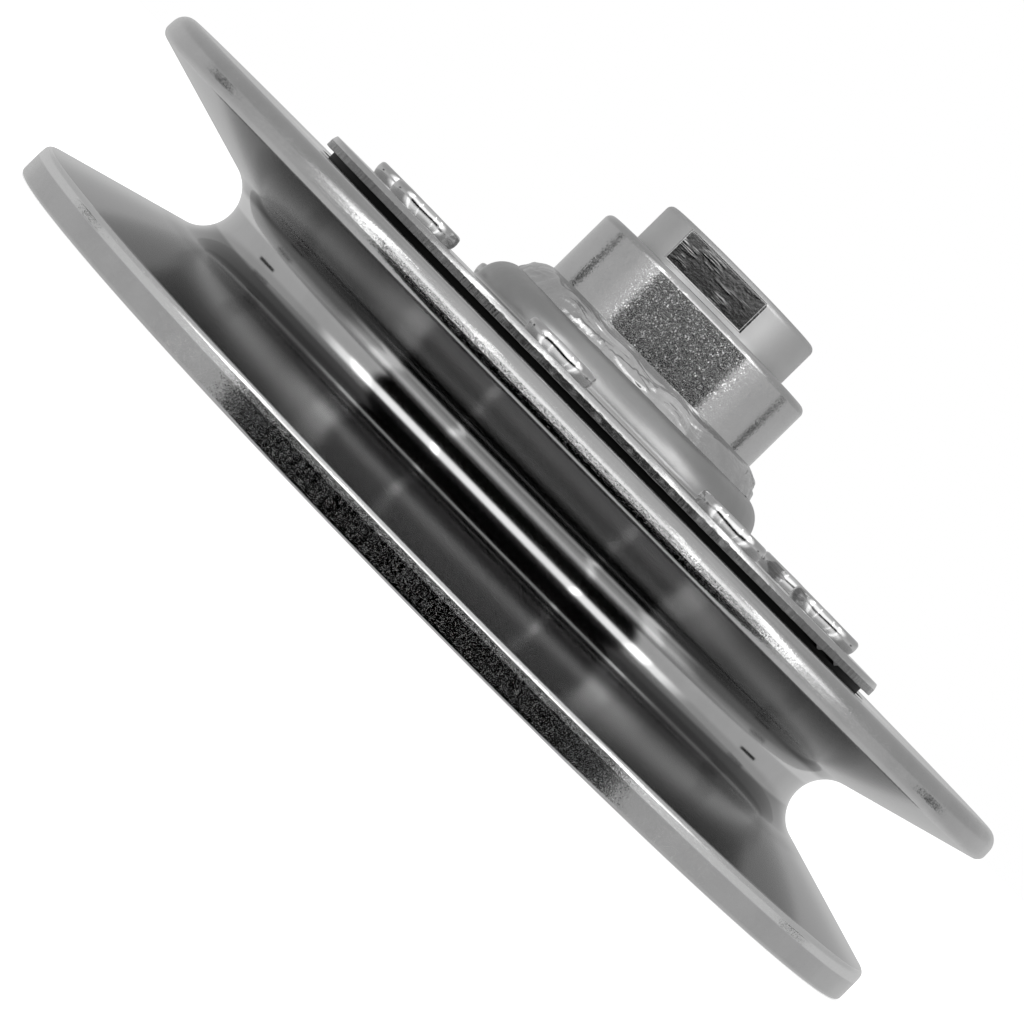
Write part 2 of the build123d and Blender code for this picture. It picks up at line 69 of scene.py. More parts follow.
class Graph:
    """Writes nodes and links into one node tree."""

    def __init__(self, tree: bpy.types.NodeTree) -> None:
        """Keeps the node tree of a material, a world or a group."""
        self.tree = tree

    def node(self, kind: str, *feeds: Feed, **settings: object) -> Node:
        """Adds a node.

        Args:
            kind: the node's type name.
            feeds: what goes into its first inputs, in order.
            settings: properties of the node itself.

        Returns:
            The new node.
        """
        made = self.tree.nodes.new(kind)
        for name, value in settings.items():
            setattr(made, name, value)
        for socket, value in zip(made.inputs, feeds):
            self.feed(socket, value)
        return made

    def feed(self, socket: Socket, value: Feed) -> None:
        """Links a socket to another one, or sets its own value.

        Args:
            socket: the input that takes the value.
            value: an output socket, a number, or a tuple for a colour or vector.
        """
        if isinstance(value, bpy.types.NodeSocket):
            self.tree.links.new(value, socket)
        else:
            socket.default_value = value

    def wire(self, made: Node, **inputs: Feed) -> None:
        """Feeds a node's inputs by their names, with _ for a space."""
        for name, value in inputs.items():
            self.feed(made.inputs[name.replace("_", " ")], value)

    def math(self, operation: str, *values: Feed, clamp: bool = False) -> Socket:
        """Works out a Math node's operation."""
        return self.node("ShaderNodeMath", *values, operation=operation, use_clamp=clamp).outputs[0]

    def times(self, first: Feed, second: Feed) -> Socket:
        """Multiplies two numbers."""
        return self.math("MULTIPLY", first, second)

    def vector(self, operation: str, *values: Feed) -> Node:
        """Adds a Vector Math node, whose outputs are Vector and Value."""
        return self.node("ShaderNodeVectorMath", *values, operation=operation)

    def scale(self, vector: Feed, factor: float) -> Socket:
        """Multiplies a vector by a number."""
        made = self.vector("SCALE", vector)
        self.wire(made, Scale=factor)
        return made.outputs[0]

    def combine(self, x: Feed, y: Feed, z: Feed) -> Socket:
        """Makes a vector of three numbers."""
        return self.node("ShaderNodeCombineXYZ", x, y, z).outputs[0]

    def split(self, vector: Feed) -> list[Socket]:
        """Takes a vector apart into three numbers."""
        return list(self.node("ShaderNodeSeparateXYZ", vector).outputs)

    def ramp(self, value: Feed, start: Feed, end: Feed, low: Feed = 0.0, high: Feed = 1.0) -> Socket:
        """Eases smoothly from low to high as a value goes from start to end."""
        feeds = (value, start, end, low, high)
        made = self.node("ShaderNodeMapRange", *feeds, interpolation_type="SMOOTHSTEP", clamp=True)
        return made.outputs[0]

    def noise(self, vector: Feed, scale: Feed, detail: float = 2.0, roughness: float = 0.5) -> Socket:
        """Adds a Noise Texture and returns its factor, which lies around 0.5."""
        made = self.node("ShaderNodeTexNoise")
        self.wire(made, Vector=vector, Scale=scale, Detail=detail, Roughness=roughness)
        return made.outputs[0]

    def cells(self, vector: Feed, size: Feed) -> Node:
        """Adds a Voronoi Texture with cells of one size."""
        made = self.node("ShaderNodeTexVoronoi")
        self.wire(made, Vector=vector, Scale=self.math("DIVIDE", 1.0, size))
        return made

    def mix(self, factor: Feed, first: Feed, second: Feed) -> Socket:
        """Mixes two numbers.

        Args:
            factor: the share of the second number.
            first: the number at 0.
            second: the number at 1.

        Returns:
            The result's socket.
        """
        made = self.node("ShaderNodeMix", factor, data_type="FLOAT", clamp_factor=True)
        for index, value in zip(MIX_FLOATS, (first, second)):
            self.feed(made.inputs[index], value)
        return made.outputs[0]

    def grey(self, value: Feed) -> Socket:
        """Turns a number into a neutral colour."""
        return self.node("ShaderNodeCombineColor", value, value, value).outputs[0]

    def group(self, tree: bpy.types.NodeTree, **inputs: Feed) -> Node:
        """Places a node group, with its inputs by name."""
        made = self.node("ShaderNodeGroup", node_tree=tree)
        self.wire(made, **inputs)
        return made


def open_nodes(owner: bpy.types.Material | bpy.types.World) -> Graph:
    """Turns on the nodes of a material or a world."""
    owner.use_nodes = True
    return Graph(owner.node_tree)


def new_group(
    name: str, inputs: dict[str, float], outputs: tuple[str, ...], build: Callable[..., tuple]
) -> bpy.types.NodeTree:
    """Makes a shader node group. A socket named Position is a vector, and the others are numbers.

    Args:
        name: the group's name.
        inputs: default by name; a vector's default isn't used.
        outputs: their names.
        build: gives the outputs' sockets from the group's graph and its inputs' sockets.

    Returns:
        The group's tree.
    """
    tree = bpy.data.node_groups.new(name, "ShaderNodeTree")
    for side, labels in (("INPUT", inputs), ("OUTPUT", outputs)):
        for label in labels:
            kind = "NodeSocketVector" if label == VECTOR_SOCKET else "NodeSocketFloat"
            socket = tree.interface.new_socket(name=label, in_out=side, socket_type=kind)
            if side == "INPUT" and label != VECTOR_SOCKET:
                socket.default_value = inputs[label]
    graph = Graph(tree)
    start = graph.node("NodeGroupInput")
    end = graph.node("NodeGroupOutput")
    for label, value in zip(outputs, build(graph, *[start.outputs[label] for label in inputs])):
        graph.feed(end.inputs[label], value)
    return tree


class SharedEffects:
    """The effects that several finishes use, each a node group."""

    def __init__(self) -> None:
        """Builds every group once."""
        height, mask, place = ("Height",), ("Mask",), {VECTOR_SOCKET: 0.0}
        axes = (VECTOR_SOCKET, "Radius", "Height", "Angle")
        tool = {"Across": 0.0, "Angle": 0.0, "Pitch": 0.2}
        edges = {"Value": 0.0, "Low": 0.0, "High": 1.0, "Soft": 0.1}
        self.coordinates = new_group("Part Coordinates", {}, axes, self.find_place)
        self.grain = new_group("Grain", place | {"Cell": 0.4}, height, self.make_grain)
        self.lines = new_group("Turned Lines", tool, height, self.make_lines)
        self.mottle = new_group("Plating Mottle", place | {"Size": 6.0}, mask, self.make_mottle)
        self.pits = new_group("Pits", place | {"Spacing": 2.5, "Size": 0.16}, mask, self.make_pits)
        self.frost = new_group("Frost", place | {"Cell": 0.3, "Tilt": 0.1}, height, self.make_frost)
        self.band = new_group("Band", edges, mask, self.make_band)

    @staticmethod
    def find_place(graph: Graph) -> tuple:
        """Places on the part in millimetres, and as radius, height and angle round the axis."""
        position = graph.scale(graph.node("ShaderNodeTexCoord").outputs["Object"], 1 / MM)
        x, y, z = graph.split(position)
        radius = graph.vector("LENGTH", graph.combine(x, y, 0.0)).outputs["Value"]
        return position, radius, z, graph.math("ARCTAN2", y, x)

    @staticmethod
    def make_grain(graph: Graph, position: Socket, cell: Socket) -> tuple:
        """Rounded bumps of one size, from blasting or from the plating bath."""
        density = graph.math("DIVIDE", 1.0, cell)
        coarse = graph.noise(position, density, detail=1.0, roughness=0.4)
        fine = graph.noise(position, graph.times(density, 2.3), detail=1.0)
        return (graph.math("ADD", coarse, graph.times(fine, 0.35)),)

    @staticmethod
    def make_lines(graph: Graph, across: Socket, angle: Socket, pitch: Socket) -> tuple:
        """Fine lines round the axis, left by a turning tool."""
        place = graph.combine(graph.math("DIVIDE", across, pitch), graph.times(angle, 0.7), 0.0)
        return (graph.noise(place, 1.0, detail=3.0, roughness=0.6),)

    @staticmethod
    def make_mottle(graph: Graph, position: Socket, size: Socket) -> tuple:
        """Cloudy patches of thicker and thinner plating."""
        cloud = graph.noise(position, graph.math("DIVIDE", 1.0, size), detail=5.0, roughness=0.62)
        return (graph.ramp(cloud, 0.32, 0.68),)

    @staticmethod
    def make_pits(graph: Graph, position: Socket, spacing: Socket, size: Socket) -> tuple:
        """Sparse small pits and specks."""
        distance = graph.cells(position, spacing).outputs["Distance"]
        return (graph.ramp(distance, 0.0, graph.math("DIVIDE", size, spacing), 1.0, 0.0),)

    @staticmethod
    def make_frost(graph: Graph, position: Socket, cell: Socket, tilt: Socket) -> tuple:
        """Small flat facets, most of them level and a few steep, as blasting leaves them."""
        cells = graph.cells(position, cell)
        middle = (0.5, 0.5, 0.5)
        away = graph.vector("SUBTRACT", position, cells.outputs["Position"]).outputs[0]
        lean = graph.scale(graph.vector("SUBTRACT", cells.outputs["Color"], middle).outputs[0], 2.0)
        square = graph.vector("MULTIPLY", lean, lean).outputs[0]
        cube = graph.vector("MULTIPLY", square, lean).outputs[0]
        return (graph.times(graph.vector("DOT_PRODUCT", away, cube).outputs["Value"], tilt),)

    @staticmethod
    def make_band(graph: Graph, value: Socket, low: Socket, high: Socket, soft: Socket) -> tuple:
        """A mask that is 1 where a value lies between two others."""
        above, below = [
            graph.ramp(value, graph.math("SUBTRACT", edge, soft), graph.math("ADD", edge, soft))
            for edge in (low, high)
        ]
        return (graph.math("SUBTRACT", above, below, clamp=True),)


@dataclass(frozen=True)
class Metal:
    """A metal surface: its grey, its gloss and its texture. Depths and sizes in millimetres."""

    name: str
    tone: float = 0.62
    tone_low: float = 0.5
    roughness: float = 0.24
    roughness_spread: float = 0.06
    mottle_size: float = 6.0
    grain_cell: float = 0.5
    grain_depth: float = 0.012
    peel_cell: float = 1.4
    peel_depth: float = 0.0
    frost_cell: float = 0.28
    frost_tilt: float = 0.0
    lines: Lay = Lay.NONE
    line_pitch: float = 0.2
    line_depth: float = 0.0
    anisotropy: float = 0.0
    pit_spacing: float = 2.5
    pit_depth: float = 0.01


@dataclass(frozen=True)
class Plastic:
    """A moulded plastic or rubber surface."""

    name: str
    colour: tuple[float, float, float] = (0.02, 0.02, 0.02)
    colour_low: tuple[float, float, float] = (0.012, 0.012, 0.012)
    roughness: float = 0.5
    roughness_spread: float = 0.1
    mottle_size: float = 3.0
    grain_cell: float = 0.3
    grain_depth: float = 0.006


PLATED_SHEAVE = Metal(
    "plated_sheave", tone=0.5, tone_low=0.46, roughness=0.12, roughness_spread=0.015, mottle_size=9.0,
    grain_cell=0.27, grain_depth=0.0032, peel_cell=1.3, peel_depth=0.006, frost_cell=0.15, frost_tilt=0.04,
)
TURNED_GROOVE = Metal(
    "turned_groove", tone=0.5, tone_low=0.46, roughness=0.1, roughness_spread=0.015, mottle_size=14.0,
    grain_cell=1.5, grain_depth=0.002, lines=Lay.ALONG_RADIUS, line_pitch=0.5, line_depth=0.0015,
    anisotropy=0.85, pit_depth=0.004,
)
PLATED_SHEET = Metal(
    "plated_sheet", tone=0.4, tone_low=0.37, roughness=0.32, roughness_spread=0.03,
    grain_cell=0.45, grain_depth=0.004, frost_cell=0.2, frost_tilt=0.02,
)
PLATED_WELD = Metal(
    "plated_weld", tone=0.58, tone_low=0.5, roughness=0.17, roughness_spread=0.04, mottle_size=3.0,
    grain_cell=0.35, grain_depth=0.012, peel_cell=1.1, peel_depth=0.02,
)
PLATED_RIVETS = Metal(
    "plated_rivets", tone=0.6, tone_low=0.55, roughness=0.11, roughness_spread=0.03, mottle_size=2.5,
    grain_cell=0.7, grain_depth=0.008,
)
PLATED_HOUSING = Metal(
    "plated_housing", tone=0.54, tone_low=0.5, roughness=0.12, roughness_spread=0.015, mottle_size=12.0,
    grain_cell=0.28, grain_depth=0.002, frost_cell=0.17, frost_tilt=0.042,
)
PLATED_SPINDLE = Metal(
    "plated_spindle", tone=0.58, tone_low=0.55, roughness=0.42, roughness_spread=0.02, mottle_size=10.0,
    grain_cell=0.6, grain_depth=0.004, pit_spacing=4.0,
)
BEARING_STEEL = Metal(
    "bearing_steel", tone=0.6, tone_low=0.55, roughness=0.12, roughness_spread=0.03,
    grain_depth=0.001, lines=Lay.ALONG_HEIGHT, line_pitch=0.08, line_depth=0.001,
)
SPACER_STEEL = Metal(
    "spacer_steel", tone=0.5, tone_low=0.42, roughness=0.32,
    grain_depth=0.004, lines=Lay.ALONG_HEIGHT, line_pitch=0.25, line_depth=0.006,
)
SPRING_STEEL = Metal("spring_steel", tone=0.12, tone_low=0.08, roughness=0.36, grain_depth=0.006)
CAGE_POLYAMIDE = Plastic(
    "cage_polyamide", colour=(0.5, 0.42, 0.26), colour_low=(0.44, 0.36, 0.21), roughness=0.4
)
SEAL_RUBBER = Plastic("seal_rubber", roughness=0.55)


@dataclass
class Surface:
    """A surface in the making: where a point of it is, and its tone, roughness and height so far."""

    graph: Graph
    effects: SharedEffects
    position: Socket
    radius: Socket
    level: Socket
    angle: Socket
    tone: Feed = 0.0
    rough: Feed = 0.0
    height: Feed = 0.0

    def texture(self, tree: bpy.types.NodeTree, **inputs: Feed) -> Socket:
        """Places an effect that reads the position."""
        return self.graph.group(tree, Position=self.position, **inputs).outputs[0]

    def lines(self, across: Socket, pitch: float) -> Socket:
        """Places the turned lines."""
        return self.graph.group(
            self.effects.lines, Across=across, Angle=self.angle, Pitch=pitch
        ).outputs[0]

    def between(self, value: Socket, low: float, high: float, soft: float) -> Socket:
        """A mask that is 1 where a value lies between two others."""
        band = self.graph.group(self.effects.band, Value=value, Low=low, High=high, Soft=soft)
        return band.outputs[0]

    def fade(self, value: Socket, base: float, reach: tuple[float, float]) -> Socket:
        """A mask that goes from 0 to 1 between two distances from a base."""
        return self.graph.ramp(value, base + reach[0], base + reach[1])

    def paint(self, mask: Socket, tone: float | None = None, rough: float | None = None) -> None:
        """Changes the tone, the roughness or both under a mask.

        Args:
            mask: where it changes.
            tone: the new tone.
            rough: the new roughness.
        """
        if tone is not None:
            self.tone = self.graph.mix(mask, self.tone, tone)
        if rough is not None:
            self.rough = self.graph.mix(mask, self.rough, rough)

    def lift(self, mask: Socket, depth: float) -> None:
        """Adds a mask to the height, times a depth in millimetres."""
        self.height = self.graph.math("MULTIPLY_ADD", mask, depth, self.height)

    def finish(self, shader: Node, **inputs: Feed) -> None:
        """Feeds the roughness, the height and other inputs to a shader."""
        bump = self.graph.node("ShaderNodeBump")
        self.graph.wire(bump, Distance=MM, Height=self.height)
        self.graph.wire(shader, Roughness=self.rough, Normal=bump.outputs[0], **inputs)


class Finisher:
    """Makes the materials from their finishes."""

    anisotropic_turn = 0.25

    def __init__(self, effects: SharedEffects) -> None:
        """Keeps the shared node groups."""
        self.effects = effects

    def begin(self, finish: Metal | Plastic) -> tuple[bpy.types.Material, Surface, Socket]:
        """Makes a material, with the roughness uneven by patches.

        Args:
            finish: its values.

        Returns:
            The material, its surface and the mask of the patches.
        """
        material = bpy.data.materials.new(finish.name)
        graph = open_nodes(material)
        surface = Surface(graph, self.effects, *graph.group(self.effects.coordinates).outputs)
        patches = surface.texture(self.effects.mottle, Size=finish.mottle_size)
        spread = finish.roughness_spread
        surface.rough = graph.mix(patches, finish.roughness + spread, finish.roughness - spread)
        grain = surface.texture(self.effects.grain, Cell=finish.grain_cell)
        surface.height = graph.times(grain, finish.grain_depth)
        return material, surface, patches

    def add_texture(self, surface: Surface, metal: Metal) -> None:
        """Adds the peel, the frost, the turned lines and the pits of a metal to its height.

        Args:
            surface: the metal's surface.
            metal: its finish.
        """
        effects = self.effects
        if metal.peel_depth:
            surface.lift(surface.texture(effects.grain, Cell=metal.peel_cell), metal.peel_depth)
        if metal.frost_tilt:
            frost = surface.texture(effects.frost, Cell=metal.frost_cell, Tilt=metal.frost_tilt)
            surface.height = surface.graph.math("ADD", frost, surface.height)
        if metal.lines is not Lay.NONE:
            across = surface.level if metal.lines is Lay.ALONG_HEIGHT else surface.radius
            surface.lift(surface.lines(across, metal.line_pitch), metal.line_depth)
        surface.lift(surface.texture(effects.pits, Spacing=metal.pit_spacing), -metal.pit_depth)

    def metal(
        self, finish: Metal, dress: Callable[[Surface], None] | None = None
    ) -> bpy.types.Material:
        """Makes a metal.

        Args:
            finish: its values.
            dress: changes its surface.

        Returns:
            The material.
        """
        material, surface, patches = self.begin(finish)
        graph = surface.graph
        surface.tone = graph.mix(patches, finish.tone_low, finish.tone)
        self.add_texture(surface, finish)
        if dress:
            dress(surface)
        shader = material.node_tree.nodes["Principled BSDF"]
        surface.finish(shader, Base_Color=graph.grey(surface.tone), Metallic=1.0)
        if finish.anisotropy:
            tangent = graph.node("ShaderNodeTangent", direction_type="RADIAL", axis="Z").outputs[0]
            graph.wire(
                shader,
                Anisotropic=finish.anisotropy,
                Anisotropic_Rotation=self.anisotropic_turn,
                Tangent=tangent,
            )
        return material

    def plastic(self, finish: Plastic) -> bpy.types.Material:
        """Makes a plastic or a rubber.

        Args:
            finish: its values.

        Returns:
            The material.
        """
        material, surface, patches = self.begin(finish)
        mixed = surface.graph.node("ShaderNodeMix", patches, data_type="RGBA")
        for index, colour in zip(MIX_COLOURS, (finish.colour_low, finish.colour)):
            mixed.inputs[index].default_value = (*colour, 1)
        shader = material.node_tree.nodes["Principled BSDF"]
        surface.finish(shader, Base_Color=mixed.outputs[MIX_COLOUR_OUT])
        return material


@dataclass
class Outline:
    """A closed outline in the plane of radius and height, in millimetres, with rounded corners."""

    corners: list[tuple[float, float, float]] = field(default_factory=list)
    arc_step: float = math.radians(9)

    def corner(self, radius: float, height: float, fillet: float = 0.0) -> None:
        """Adds a corner with its own fillet."""
        self.corners.append((radius, height, fillet))

    def points(self) -> list[Vector]:
        """Lists the outline's points in metres, arcs included, in the plane of X and Z."""
        made = []
        count = len(self.corners)
        for index, (radius, height, fillet) in enumerate(self.corners):
            here = Vector((radius, height))
            if not fillet:
                made.append(here)
                continue
            before = Vector(self.corners[index - 1][:2]) - here
            after = Vector(self.corners[(index + 1) % count][:2]) - here
            made += self.arc(here, before.normalized(), after.normalized(), fillet)
        return [Vector((p.x, 0, p.y)) * MM for p in made]

    def arc(self, here: Vector, before: Vector, after: Vector, fillet: float) -> list[Vector]:
        """Rounds one corner.

        Args:
            here: the corner.
            before: direction to the corner before it.
            after: direction to the corner after it.
            fillet: the arc's radius.

        Returns:
            The arc's points.
        """
        opening = math.acos(max(-1.0, min(1.0, before.dot(after))))
        centre = here + (before + after).normalized() * fillet / math.sin(opening / 2)
        start = here + before * fillet / math.tan(opening / 2) - centre
        end = here + after * fillet / math.tan(opening / 2) - centre
        sweep = start.angle_signed(end)
        steps = max(2, math.ceil(abs(sweep) / self.arc_step))
        return [centre + Matrix.Rotation(-sweep * step / steps, 2) @ start for step in range(steps + 1)]


def deselect() -> None:
    """Deselects every object."""
    bpy.ops.object.select_all(action="DESELECT")


def copy_round(piece: Piece, turns: list[Matrix]) -> None:
    """Copies a piece to several places and joins the copies into it, its own place left out.

    Args:
        piece: the piece, modelled once.
        turns: the place of each copy; the first one is where the piece itself goes.
    """
    copies = [piece]
    for _ in turns[1:]:
        copy = piece.copy()
        copy.data = piece.data.copy()
        bpy.context.scene.collection.objects.link(copy)
        copies.append(copy)
    deselect()
    for copy, turn in zip(copies, turns):
        copy.data.transform(turn)
        copy.select_set(True)
    bpy.context.view_layer.objects.active = piece
    bpy.ops.object.join()


def turn_outline(
    name: str, points: list[Vector], steps: int, sectors: int = 12, smooth_angle: float = 30.0
) -> Piece:
    """Turns a closed outline about the axis, as on a lathe: one sector is spun, then copied round.

    Args:
        name: the piece's name.
        points: the outline in the plane of X and Z.
        steps: sections round the axis, a multiple of the sectors.
        sectors: how many equal sectors the turn has.
        smooth_angle: degrees up to which an edge is shaded smooth.

    Returns:
        The finished object, at the origin.
    """
    deselect()
    bpy.ops.mesh.primitive_plane_add(size=MM, location=points[0])
    piece = bpy.context.object
    piece.name = name
    piece.data.name = name
    bpy.ops.object.mode_set(mode="EDIT")
    bpy.ops.mesh.select_all(action="SELECT")
    bpy.ops.mesh.merge(type="CENTER")
    for here, there in zip(points, points[1:]):
        bpy.ops.mesh.extrude_region_move(TRANSFORM_OT_translate={"value": there - here})
    bpy.ops.mesh.select_all(action="DESELECT")
    work = bmesh.from_edit_mesh(piece.data)
    for vertex in work.verts:
        vertex.select = len(vertex.link_edges) == 1
    bmesh.update_edit_mesh(piece.data)
    bpy.ops.mesh.edge_face_add()
    bpy.ops.mesh.select_all(action="SELECT")
    sector = FULL_TURN / sectors
    bpy.ops.mesh.spin(steps=steps // sectors, angle=sector, center=(0, 0, 0), axis=(0, 0, 1))
    bpy.ops.object.mode_set(mode="OBJECT")
    bpy.ops.object.transform_apply(location=True, rotation=True, scale=True)
    copy_round(piece, [Matrix.Rotation(sector * index, 4, "Z") for index in range(sectors)])
    bpy.ops.object.mode_set(mode="EDIT")
    bpy.ops.mesh.select_all(action="SELECT")
    bpy.ops.mesh.remove_doubles(threshold=MM * MM)
    bpy.ops.mesh.normals_make_consistent(inside=False)
    bpy.ops.object.mode_set(mode="OBJECT")
    bpy.ops.object.shade_smooth_by_angle(angle=math.radians(smooth_angle))
    return piece


def even_shading(piece: Piece) -> None:
    """Lets the large faces set the shading, so that a flat stays flat up to its fillets.

    Args:
        piece: the piece, whose shape is finished.
    """
    deselect()
    piece.select_set(True)
    bpy.context.view_layer.objects.active = piece
    weighted = piece.modifiers.new("even_shading", "WEIGHTED_NORMAL")
    weighted.keep_sharp = True
    bpy.ops.object.modifier_apply(modifier=weighted.name)


def sculpt(piece: Piece, move: Callable[[Vector], Vector]) -> None:
    """Moves every vertex of a piece by a function of its place.

    Args:
        piece: the mesh object.
        move: gives the movement, in metres, of a vertex from its place in millimetres.
    """
    for vertex in piece.data.vertices:
        vertex.co += move(vertex.co / MM)
    piece.data.update()


def hand_over(piece: Piece, body: str, slot: str, *nodes: str) -> None:
    """Ties a finished piece to the frame and reports it.

    Args:
        piece: the finished piece.
        body: the body that it rides on.
        slot: the record's material slot; not used.
        nodes: the CAD nodes that it stands for.
    """
    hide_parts(*nodes)
    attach(piece, body)
    log.info("%s: %d faces, on %s", piece.name, len(piece.data.polygons), body)


def dress_nodes(material: bpy.types.Material, *nodes: str) -> None:
    """Gives CAD nodes that keep their shape a material.

    Args:
        material: the material.
        nodes: their names.
    """
    for node in nodes:
        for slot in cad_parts[node].material_slots:
            slot.material = material
        log.info("%s: dressed in %s", node, material.name)


@dataclass
class Sheave:
    """The turned casting: groove, rims, web and plate seat."""

    radius: float = 82.5
    groove_apex_radius: float = 42.783
    groove_half_width: float = 11.389
    groove_root_fillet: float = 5.6
    groove_edge: float = 0.4
    root_radius: float = 57.5
    flank_start: tuple[float, float] = (3.0, 6.0)
    flank_tone: float = 0.33
    flank_roughness: float = 0.16
    # Heights and tones of the painted reflection bands round the root.
    root_reflection_bands: tuple[tuple[float, float, float], ...] = (
        (-6.3, -2.4, 0.22),
        (3.9, 5.7, 0.2),
        (1.7, 3.6, 0.72),
    )
    root_ring_soft: float = 0.25
    upper_face_z: float = 15.689
    lower_face_z: float = -16.589
    seat_z: float = 16.689
    seat_radius: float = 53.4
    web_under_z: float = 9.689
    web_bore_radius: float = 24.0
    web_edge_fillet: float = 0.8
    cup_mouth_radius: float = 52.946
    cup_top_radius: float = 50.652
    cup_fillet: float = 2.0
    cup_mouth_fillet: float = 1.0
    cup_wall: float = 2.0
    crown_fillet: float = 2.3
    upper_land_fillet: float = 1.4
    lower_land_fillet: float = 1.0
    lower_edge_fillet: float = 0.6
    crown_lean: float = 0.2
    upper_lean_z: float = 12.75
    lower_lean: float = 0.11
    lower_lean_z: float = -13.0
    lean_fillet: float = 1.2
    crevice_reach: tuple[float, float] = (1.5, 0.9)
    crevice_depth: tuple[float, float] = (-0.3, -0.1)
    # Tone of the painted shade in the crevice under the plate.
    painted_crevice_shade: float = 0.012
    crevice_roughness: float = 0.6
    smooth_reach: tuple[float, float] = (14.0, 4.0)
    smooth_depth: tuple[float, float] = (-0.3, -0.05)
    smooth_share: float = 0.9
    smooth_roughness: float = 0.06
    land_reach: tuple[float, float] = (-2.0, -1.2)
    land_overlap: float = 0.6
    land_soft: float = 0.15
    land_tone: float = 0.72
    arc_step: float = math.radians(5)
    steps: int = 360

    def build(self) -> Piece:
        """Turns the casting."""
        corners = [
            (self.web_bore_radius, self.seat_z, self.web_edge_fillet),
            (self.seat_radius, self.seat_z, 0.0),
            (self.seat_radius, self.upper_face_z, 0.0),
            (self.radius - self.crown_lean, self.upper_face_z, self.crown_fillet),
            (self.radius, self.upper_lean_z, self.lean_fillet),
            (self.radius, self.groove_half_width, self.upper_land_fillet),
            (self.groove_apex_radius, 0.0, self.groove_root_fillet),
            (self.radius - self.lower_lean, -self.groove_half_width, self.lower_land_fillet),
            (self.radius, self.lower_lean_z, self.lean_fillet),
            (self.radius, self.lower_face_z, self.lower_edge_fillet),
            (self.cup_mouth_radius, self.lower_face_z, self.cup_mouth_fillet),
            (self.cup_top_radius, self.web_under_z, self.cup_fillet),
            (self.web_bore_radius, self.web_under_z, self.web_edge_fillet),
        ]
        casting = turn_outline("turned_sheave", Outline(corners, self.arc_step).points(), self.steps)
        even_shading(casting)
        return casting

    def dress_rims(self, surface: Surface) -> None:
        """Paints shade into the crevice under the plate and brightens the lower rim's turned edge.

        Args:
            surface: the plated surface.
        """
        graph, radius, level = surface.graph, surface.radius, surface.level
        under = graph.times(
            surface.fade(radius, self.seat_radius, self.crevice_reach),
            surface.fade(level, self.upper_face_z, self.crevice_depth),
        )
        near = graph.times(
            surface.fade(radius, self.seat_radius, self.smooth_reach),
            surface.fade(level, self.upper_face_z, self.smooth_depth),
        )
        kept = graph.math("MULTIPLY_ADD", near, -self.smooth_share, 1.0)
        surface.height = graph.times(surface.height, kept)
        surface.paint(near, rough=self.smooth_roughness)
        # Painted shade: the crevice under the plate's edge is darkened almost to black, standing in for
        # the shadow that falls there.
        surface.paint(under, self.painted_crevice_shade, self.crevice_roughness)
        land_top = self.land_overlap - self.groove_half_width
        edge = graph.times(
            surface.fade(radius, self.radius, self.land_reach),
            surface.between(level, self.lower_lean_z, land_top, self.land_soft),
        )
        surface.paint(edge, self.land_tone)

    def dress_groove(self, surface: Surface) -> None:
        """Makes the flanks darker and less sharp than the round root, and paints reflections into the
        root: a dark band towards each of its ends and a bright band above its middle.

        Args:
            surface: the polished surface.
        """
        flanks = surface.fade(surface.radius, self.root_radius, self.flank_start)
        surface.paint(flanks, self.flank_tone, self.flank_roughness)
        # Painted reflection: dark and bright bands at set heights round the root.
        for low, high, tone in self.root_reflection_bands:
            surface.paint(surface.between(surface.level, low, high, self.root_ring_soft), tone)

    def dress(self, piece: Piece, finisher: Finisher) -> None:
        """Gives the rims, the faces and the web the plated finish, and the groove a polished one.

        Args:
            piece: the casting.
            finisher: makes the materials.
        """
        piece.data.materials.append(finisher.metal(PLATED_SHEAVE, self.dress_rims))
        piece.data.materials.append(finisher.metal(TURNED_GROOVE, self.dress_groove))
        reach = (self.groove_half_width - self.groove_edge) * MM
        for face in piece.data.polygons:
            centre = face.center
            outside = math.hypot(centre.x, centre.y) > (self.cup_mouth_radius + self.cup_wall) * MM
            face.material_index = int(outside and abs(centre.z) < reach)


